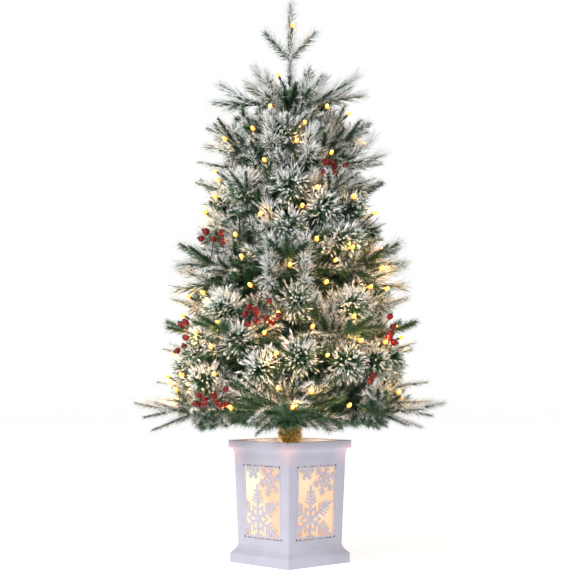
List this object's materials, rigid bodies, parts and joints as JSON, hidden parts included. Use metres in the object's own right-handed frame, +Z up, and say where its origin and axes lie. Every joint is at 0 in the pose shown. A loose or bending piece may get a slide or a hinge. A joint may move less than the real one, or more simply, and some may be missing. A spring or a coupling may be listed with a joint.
{
  "type": "artificial tabletop tree",
  "caption": "Small flocked evergreen tree with folding branches, warm lights and berries, standing in a square lantern pot with lit snowflake panels.",
  "frame": {"origin": "centre of the pot's square foot, on the surface it stands on, below the tree's pole", "axes": "+Z up along the pole; -Y is the pot's front face; the tree's best side faces the +X -Y corner"},
  "size_m": [0.6394, 0.6395, 1.222],
  "materials": {
    "pot_plastic": "satin moulded, milky",
    "panel_plastic": "satin moulded, backlit",
    "frosted_film": "frosted, glows warm",
    "white_plastic": "matt moulded",
    "dark_plastic": "matt moulded",
    "cement": "rough cast",
    "steel": "drawn tube",
    "green_paint": "satin powder coat",
    "needles": "cut film needles with white flock",
    "berry": "lacquered",
    "wire": "soft insulation",
    "cell_jacket": "printed-less metal jacket"
  },
  "bodies": {
    "pot": {"pot_shell": "pot_plastic", "snowflake_panel_front": "panel_plastic", "snowflake_panel_right": "panel_plastic", "snowflake_panel_back": "panel_plastic", "snowflake_panel_left": "panel_plastic", "diffuser_liner": "frosted_film", "top_deck": "pot_plastic", "base_plate": "white_plastic", "ballast_block": "cement", "trunk_socket": "steel", "battery_case": "dark_plastic", "battery_cell_1": "cell_jacket", "battery_cell_2": "cell_jacket", "battery_cell_3": "cell_jacket", "pot_light_string": "wire", "lead_wire": "wire", "lead_socket": "dark_plastic"},
    "tree": {"trunk_pole": "green_paint", "trunk_garland": "needles", "tree_plug": "dark_plastic", "trunk_wire": "wire", "crown_spray": "needles", "hinge_hub_1": "dark_plastic", "hinge_hub_2": "dark_plastic", "hinge_hub_3": "dark_plastic", "hinge_hub_4": "dark_plastic", "hinge_hub_5": "dark_plastic"},
    "battery_door": {"battery_door": "white_plastic"},
    "timer_button": {"timer_button": "dark_plastic"},
    "branch_1a": {"branch_1a": "needles"},
    "branch_1b": {"branch_1b": "needles"},
    "branch_1c": {"branch_1c": "needles"},
    "branch_1d": {"branch_1d": "needles"},
    "branch_1e": {"branch_1e": "needles", "berry_pick_1": "berry"},
    "branch_2a": {"branch_2a": "needles"},
    "branch_2b": {"branch_2b": "needles", "berry_pick_2": "berry"},
    "branch_2c": {"branch_2c": "needles"},
    "branch_2d": {"branch_2d": "needles", "berry_pick_3": "berry"},
    "branch_2e": {"branch_2e": "needles", "berry_pick_4": "berry"},
    "branch_3a": {"branch_3a": "needles"},
    "branch_3b": {"branch_3b": "needles"},
    "branch_3c": {"branch_3c": "needles"},
    "branch_3d": {"branch_3d": "needles"},
    "branch_3e": {"branch_3e": "needles", "berry_pick_5": "berry"},
    "branch_4a": {"branch_4a": "needles", "berry_pick_6": "berry"},
    "branch_4b": {"branch_4b": "needles"},
    "branch_4c": {"branch_4c": "needles"},
    "branch_4d": {"branch_4d": "needles"},
    "branch_4e": {"branch_4e": "needles"},
    "branch_5a": {"branch_5a": "needles"},
    "branch_5b": {"branch_5b": "needles"},
    "branch_5c": {"branch_5c": "needles"},
    "branch_5d": {"branch_5d": "needles"},
    "branch_5e": {"branch_5e": "needles"}
  },
  "joints": [
    {"name": "pole_lift", "type": "slide", "parent": "pot", "child": "tree", "axis": [0, 0, 1], "range_m": [0, 0.235]},
    {"name": "battery_door_slide", "type": "slide", "parent": "pot", "child": "battery_door", "axis": [1, 0, 0], "range_m": [0, 0.046]},
    {"name": "timer_button_press", "type": "slide", "parent": "pot", "child": "timer_button", "axis": [0, 0, 1], "range_m": [0, 0.0015], "stiffness_N_per_m": 300, "springref_m": -0.001},
    {"name": "fold_1a", "type": "hinge", "parent": "tree", "child": "branch_1a", "pos_m": [0.01556, -0.01556, 0.325], "axis": [-0.7071, -0.7071, 0], "range_deg": [0, 55]},
    {"name": "fold_1b", "type": "hinge", "parent": "tree", "child": "branch_1b", "pos_m": [0.0196, 0.00999, 0.325], "axis": [0.454, -0.891, 0], "range_deg": [0, 55]},
    {"name": "fold_1c", "type": "hinge", "parent": "tree", "child": "branch_1c", "pos_m": [-0.00344, 0.02173, 0.325], "axis": [0.9877, 0.1564, 0], "range_deg": [0, 55]},
    {"name": "fold_1d", "type": "hinge", "parent": "tree", "child": "branch_1d", "pos_m": [-0.02173, 0.00344, 0.325], "axis": [0.1564, 0.9877, 0], "range_deg": [0, 55]},
    {"name": "fold_1e", "type": "hinge", "parent": "tree", "child": "branch_1e", "pos_m": [-0.00999, -0.0196, 0.325], "axis": [-0.891, 0.454, 0], "range_deg": [0, 55]},
    {"name": "fold_2a", "type": "hinge", "parent": "tree", "child": "branch_2a", "pos_m": [0.02173, -0.00344, 0.455], "axis": [-0.1564, -0.9877, 0], "range_deg": [0, 48]},
    {"name": "fold_2b", "type": "hinge", "parent": "tree", "child": "branch_2b", "pos_m": [0.00999, 0.0196, 0.455], "axis": [0.891, -0.454, 0], "range_deg": [0, 48]},
    {"name": "fold_2c", "type": "hinge", "parent": "tree", "child": "branch_2c", "pos_m": [-0.01556, 0.01556, 0.455], "axis": [0.7071, 0.7071, 0], "range_deg": [0, 48]},
    {"name": "fold_2d", "type": "hinge", "parent": "tree", "child": "branch_2d", "pos_m": [-0.0196, -0.00999, 0.455], "axis": [-0.454, 0.891, 0], "range_deg": [0, 48]},
    {"name": "fold_2e", "type": "hinge", "parent": "tree", "child": "branch_2e", "pos_m": [0.00344, -0.02173, 0.455], "axis": [-0.9877, -0.1564, 0], "range_deg": [0, 48]},
    {"name": "fold_3a", "type": "hinge", "parent": "tree", "child": "branch_3a", "pos_m": [0.01556, -0.01556, 0.585], "axis": [-0.7071, -0.7071, 0], "range_deg": [0, 40]},
    {"name": "fold_3b", "type": "hinge", "parent": "tree", "child": "branch_3b", "pos_m": [0.0196, 0.00999, 0.585], "axis": [0.454, -0.891, 0], "range_deg": [0, 40]},
    {"name": "fold_3c", "type": "hinge", "parent": "tree", "child": "branch_3c", "pos_m": [-0.00344, 0.02173, 0.585], "axis": [0.9877, 0.1564, 0], "range_deg": [0, 40]},
    {"name": "fold_3d", "type": "hinge", "parent": "tree", "child": "branch_3d", "pos_m": [-0.02173, 0.00344, 0.585], "axis": [0.1564, 0.9877, 0], "range_deg": [0, 40]},
    {"name": "fold_3e", "type": "hinge", "parent": "tree", "child": "branch_3e", "pos_m": [-0.00999, -0.0196, 0.585], "axis": [-0.891, 0.454, 0], "range_deg": [0, 40]},
    {"name": "fold_4a", "type": "hinge", "parent": "tree", "child": "branch_4a", "pos_m": [0.02173, -0.00344, 0.715], "axis": [-0.1564, -0.9877, 0], "range_deg": [0, 34]},
    {"name": "fold_4b", "type": "hinge", "parent": "tree", "child": "branch_4b", "pos_m": [0.00999, 0.0196, 0.715], "axis": [0.891, -0.454, 0], "range_deg": [0, 34]},
    {"name": "fold_4c", "type": "hinge", "parent": "tree", "child": "branch_4c", "pos_m": [-0.01556, 0.01556, 0.715], "axis": [0.7071, 0.7071, 0], "range_deg": [0, 34]},
    {"name": "fold_4d", "type": "hinge", "parent": "tree", "child": "branch_4d", "pos_m": [-0.0196, -0.00999, 0.715], "axis": [-0.454, 0.891, 0], "range_deg": [0, 34]},
    {"name": "fold_4e", "type": "hinge", "parent": "tree", "child": "branch_4e", "pos_m": [0.00344, -0.02173, 0.715], "axis": [-0.9877, -0.1564, 0], "range_deg": [0, 34]},
    {"name": "fold_5a", "type": "hinge", "parent": "tree", "child": "branch_5a", "pos_m": [0.01556, -0.01556, 0.835], "axis": [-0.7071, -0.7071, 0], "range_deg": [0, 30]},
    {"name": "fold_5b", "type": "hinge", "parent": "tree", "child": "branch_5b", "pos_m": [0.0196, 0.00999, 0.835], "axis": [0.454, -0.891, 0], "range_deg": [0, 30]},
    {"name": "fold_5c", "type": "hinge", "parent": "tree", "child": "branch_5c", "pos_m": [-0.00344, 0.02173, 0.835], "axis": [0.9877, 0.1564, 0], "range_deg": [0, 30]},
    {"name": "fold_5d", "type": "hinge", "parent": "tree", "child": "branch_5d", "pos_m": [-0.02173, 0.00344, 0.835], "axis": [0.1564, 0.9877, 0], "range_deg": [0, 30]},
    {"name": "fold_5e", "type": "hinge", "parent": "tree", "child": "branch_5e", "pos_m": [-0.00999, -0.0196, 0.835], "axis": [-0.891, 0.454, 0], "range_deg": [0, 30]}
  ]
}
